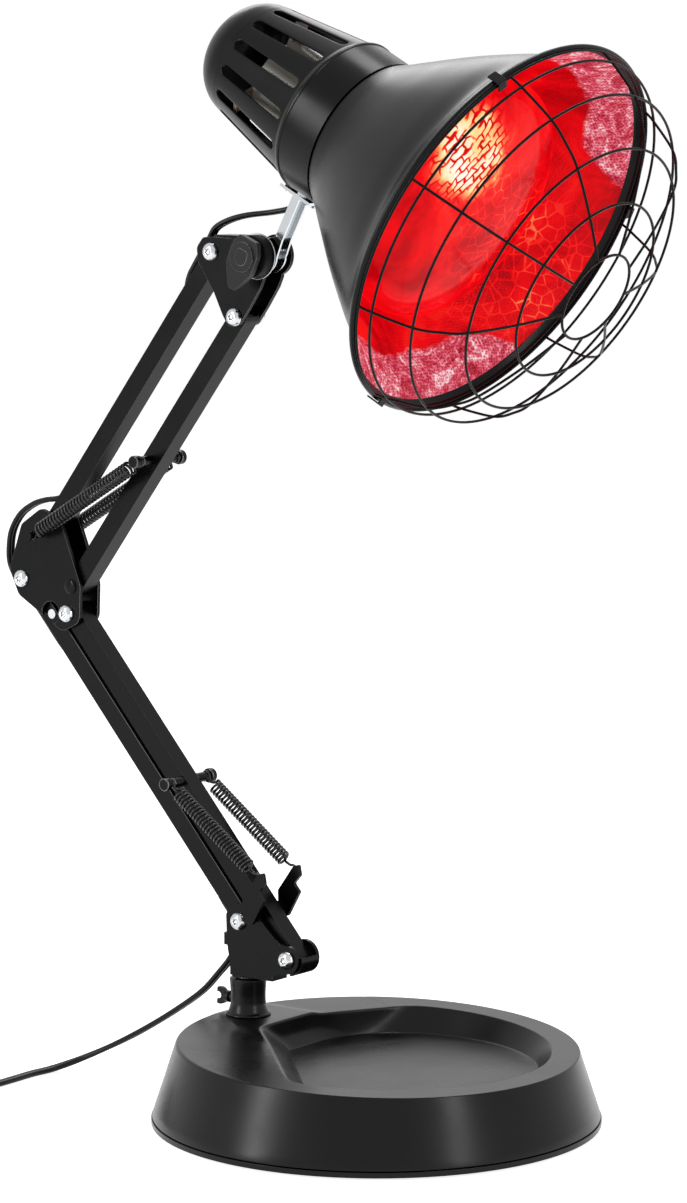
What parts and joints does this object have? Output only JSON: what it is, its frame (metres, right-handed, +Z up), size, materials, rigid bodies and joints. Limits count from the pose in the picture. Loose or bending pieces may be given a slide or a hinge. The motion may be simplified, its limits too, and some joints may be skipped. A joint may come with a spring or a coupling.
{
  "type": "swing arm heat lamp",
  "caption": "Spring balanced swing arm lamp with a red infrared bulb, vented shade and wire guard, on a round weighted base with a dish.",
  "frame": {"origin": "under the middle of the round base, on the surface it stands on", "axes": "+Z up, +X from the post toward the lamp head in the plane of the arms, +Y to the rear side"},
  "size_m": [0.4394, 0.2253, 0.5366],
  "materials": {
    "black_paint": "satin powder coat",
    "dark_spring": "blackened spring steel",
    "bright_steel": "zinc plated",
    "chrome": "polished",
    "cast_iron": "rough cast",
    "black_rubber": "matt",
    "black_plastic": "satin",
    "ceramic": "glazed",
    "brass": "bare",
    "red_glass": "ruby coated"
  },
  "bodies": {
    "base": {"base_shell": "black_paint", "base_weight": "cast_iron", "base_plate": "black_paint", "base_feet": "black_rubber", "base_screws": "bright_steel", "post_socket": "black_paint", "socket_nut": "bright_steel", "cord_free": "black_rubber", "cord_coil": "black_rubber", "cord_tie": "black_plastic", "plug_body": "black_rubber", "plug_pins": "brass"},
    "thumb_screw": {"thumb_screw": "black_plastic"},
    "swivel": {"swivel_post": "black_paint", "lower_bracket": "black_paint", "lower_bolts": "bright_steel", "lower_nuts": "bright_steel", "lower_washers": "bright_steel", "lower_cord_loop": "black_rubber", "cord_clip": "black_paint"},
    "lower_rear_bar": {"lower_rear_tube": "black_paint", "cord_lower_run": "black_rubber", "tube_screw": "bright_steel"},
    "lower_front_bar": {"lower_front_tube": "black_paint", "lower_spring_rod": "bright_steel", "lower_rod_clips": "dark_spring", "lower_springs": "dark_spring"},
    "elbow": {"elbow_front_plate": "black_paint", "elbow_rear_plate": "black_paint", "elbow_bolts": "bright_steel", "elbow_nuts": "bright_steel", "elbow_rivets": "black_paint", "elbow_washers": "bright_steel", "elbow_spring_pin": "bright_steel", "elbow_cord_loop": "black_rubber"},
    "upper_rear_bar": {"upper_rear_tube": "black_paint", "cord_upper_run": "black_rubber"},
    "upper_front_bar": {"upper_front_tube": "black_paint", "upper_spring_rod": "bright_steel", "upper_rod_clips": "dark_spring", "upper_springs": "dark_spring"},
    "head_bracket": {"head_bracket": "black_paint", "head_bolts": "bright_steel", "head_nuts": "bright_steel", "head_washers": "bright_steel", "friction_disc": "black_rubber", "disc_washer": "chrome", "tilt_bolt": "bright_steel", "head_cord_loop": "black_rubber"},
    "wing_lever": {"wing_lever": "black_plastic"},
    "head": {"yoke": "chrome", "yoke_screws": "bright_steel", "friction_spacers": "black_rubber", "lamp_housing": "black_paint", "shade": "black_paint", "lampholder": "ceramic", "bulb_glass": "red_glass", "bulb_cap": "brass", "guard": "black_paint", "guard_clips": "bright_steel"}
  },
  "joints": [
    {"name": "base_swivel", "type": "hinge", "parent": "base", "child": "swivel", "pos_m": [-0.08, 0, 0.06], "axis": [0, 0, 1], "range_deg": [-135, 135], "deforming": ["cord_free"]},
    {"name": "thumb_turn", "type": "hinge", "parent": "base", "child": "thumb_screw", "pos_m": [-0.08, 0, 0.049], "axis": [1, 0, 0], "range_deg": [-180, 180]},
    {"name": "lower_arm", "type": "hinge", "parent": "swivel", "child": "lower_rear_bar", "pos_m": [-0.0795, 0, 0.0898], "axis": [0, 1, 0], "range_deg": [-3, 60], "deforming": ["lower_cord_loop"]},
    {"name": "lower_front_pivot", "type": "hinge", "parent": "swivel", "child": "lower_front_bar", "pos_m": [-0.0494, 0, 0.0742], "axis": [0, 1, 0], "range_deg": [-3, 60], "deforming": ["lower_springs"]},
    {"name": "elbow_level", "type": "hinge", "parent": "lower_rear_bar", "child": "elbow", "pos_m": [-0.22133, 0, 0.24898], "axis": [0, 1, 0], "range_deg": [-60, 3]},
    {"name": "upper_arm", "type": "hinge", "parent": "elbow", "child": "upper_rear_bar", "pos_m": [-0.20303, 0, 0.27818], "axis": [0, 1, 0], "range_deg": [-40, 75], "deforming": ["elbow_cord_loop"]},
    {"name": "upper_front_pivot", "type": "hinge", "parent": "elbow", "child": "upper_front_bar", "pos_m": [-0.18853, 0, 0.24718], "axis": [0, 1, 0], "range_deg": [-40, 75], "deforming": ["upper_springs"]},
    {"name": "head_level", "type": "hinge", "parent": "upper_rear_bar", "child": "head_bracket", "pos_m": [-0.09552, 0, 0.41779], "axis": [0, 1, 0], "range_deg": [-75, 40]},
    {"name": "head_tilt", "type": "hinge", "parent": "head_bracket", "child": "head", "pos_m": [-0.06652, 0, 0.41648], "axis": [0, 1, 0], "range_deg": [-30, 50], "deforming": ["head_cord_loop"]},
    {"name": "wing_turn", "type": "hinge", "parent": "head_bracket", "child": "wing_lever", "pos_m": [-0.06652, 0, 0.41648], "axis": [0, 1, 0], "range_deg": [-60, 120]}
  ],
  "couplings": [
    {"joint": "lower_front_pivot", "follows": "lower_arm", "ratio": 1},
    {"joint": "elbow_level", "follows": "lower_arm", "ratio": -1},
    {"joint": "upper_front_pivot", "follows": "upper_arm", "ratio": 1},
    {"joint": "head_level", "follows": "upper_arm", "ratio": -1}
  ]
}
